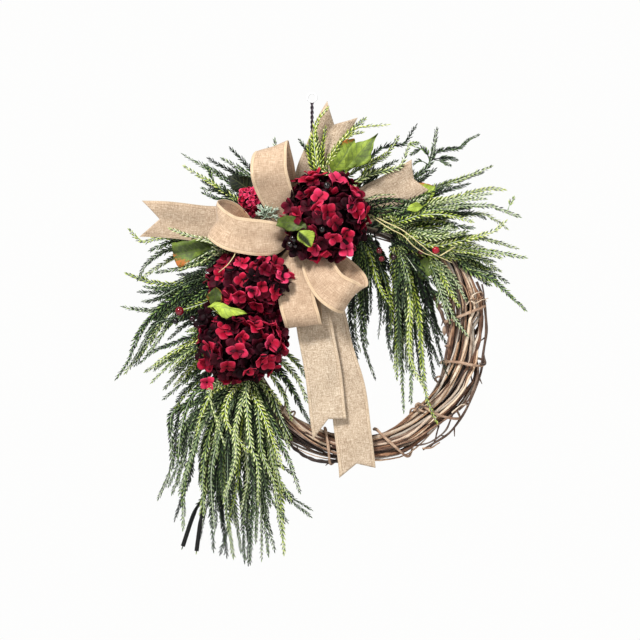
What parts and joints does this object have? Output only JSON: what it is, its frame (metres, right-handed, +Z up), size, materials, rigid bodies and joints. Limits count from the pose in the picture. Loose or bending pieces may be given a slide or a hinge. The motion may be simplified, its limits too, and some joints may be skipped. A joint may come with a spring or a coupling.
{
  "type": "christmas wreath",
  "caption": "Asymmetric grapevine door wreath with burgundy hydrangea heads, a burlap ribbon bow and weeping artificial cedar sprays, hung by a twisted wire.",
  "frame": {"origin": "top of the hanger's eye, where the wreath hangs on its nail", "axes": "+Z up, +Y into the wall so that the front faces -Y, +X to the viewer's right"},
  "size_m": [0.714, 0.1753, 0.8275],
  "materials": {
    "vine": "dry brown grapevine bark",
    "vine_dark": "darker grapevine bark",
    "wire": "dark coated florist's wire",
    "burlap": "tan woven burlap with a wired hem",
    "burgundy_petal": "pressed satin petals, burgundy",
    "pink_petal": "pressed petals, deep pink",
    "needles_dark": "moulded cedar needles, dark green",
    "needles_mid": "moulded cedar needles, mid green",
    "needles_light": "moulded cedar needles, yellow green",
    "frosted_sprig": "pale frosted sprig",
    "leaf_green": "printed fabric leaf, bright green with rust edges",
    "leaf_dark": "printed fabric leaf, dark green",
    "berry_red": "glossy red",
    "berry_dark": "glossy near black purple",
    "straw": "dry straw blade"
  },
  "bodies": {
    "root": {"vine_outer_first": "vine", "vine_outer_second": "vine", "vine_core": "vine_dark", "vine_stray_right": "vine_dark", "vine_stray_lower_left": "vine_dark", "vine_stray_inner": "vine_dark", "tendril_right_upper": "vine", "tendril_right": "vine", "tendril_right_lower": "vine", "tendril_bottom": "vine", "tendril_bottom_left": "vine", "tendril_left": "vine", "hanger_wire": "wire", "bow_wire": "wire", "bow_loops": "burlap", "tail_left": "burlap", "tail_upper": "burlap", "tail_right": "burlap", "tail_front": "burlap", "tail_rear": "burlap", "bloom_lower": "burgundy_petal", "bloom_upper": "burgundy_petal", "bloom_middle": "burgundy_petal", "leaf_by_knot_dark": "leaf_dark", "leaf_by_knot_bright": "leaf_green", "leaf_between_blooms": "leaf_green", "leaf_between_blooms_dark": "leaf_dark", "leaf_left": "leaf_green", "leaf_top_left": "leaf_green", "leaf_top_right": "leaf_green", "leaf_right": "leaf_green", "leaf_hanging": "leaf_dark", "spray_upper_left": "needles_mid", "spray_left_upper": "needles_mid", "spray_left_lower": "needles_light", "spray_lower_left": "needles_mid", "spray_cascade_back": "needles_dark", "spray_cascade_front": "needles_mid", "spray_beside_lower_bloom": "needles_mid", "spray_top_lime": "needles_light", "spray_top_front": "needles_mid", "spray_top": "needles_mid", "spray_top_dark": "needles_dark", "spray_right_back": "needles_dark", "spray_right_upper": "needles_light", "spray_right_middle": "needles_mid", "spray_right_lower": "needles_light", "spray_ring_right": "needles_light", "spray_hanging_left": "needles_dark", "spray_hanging_right": "needles_mid", "leaf_right_small": "leaf_green", "berries_left": "berry_red", "berries_right": "berry_red", "berries_by_knot": "berry_dark", "berry_in_upper_bloom": "berry_dark", "straw_right": "straw", "straw_left": "straw", "blossom_small": "pink_petal", "sprig_frosted": "frosted_sprig"}
  },
  "joints": []
}
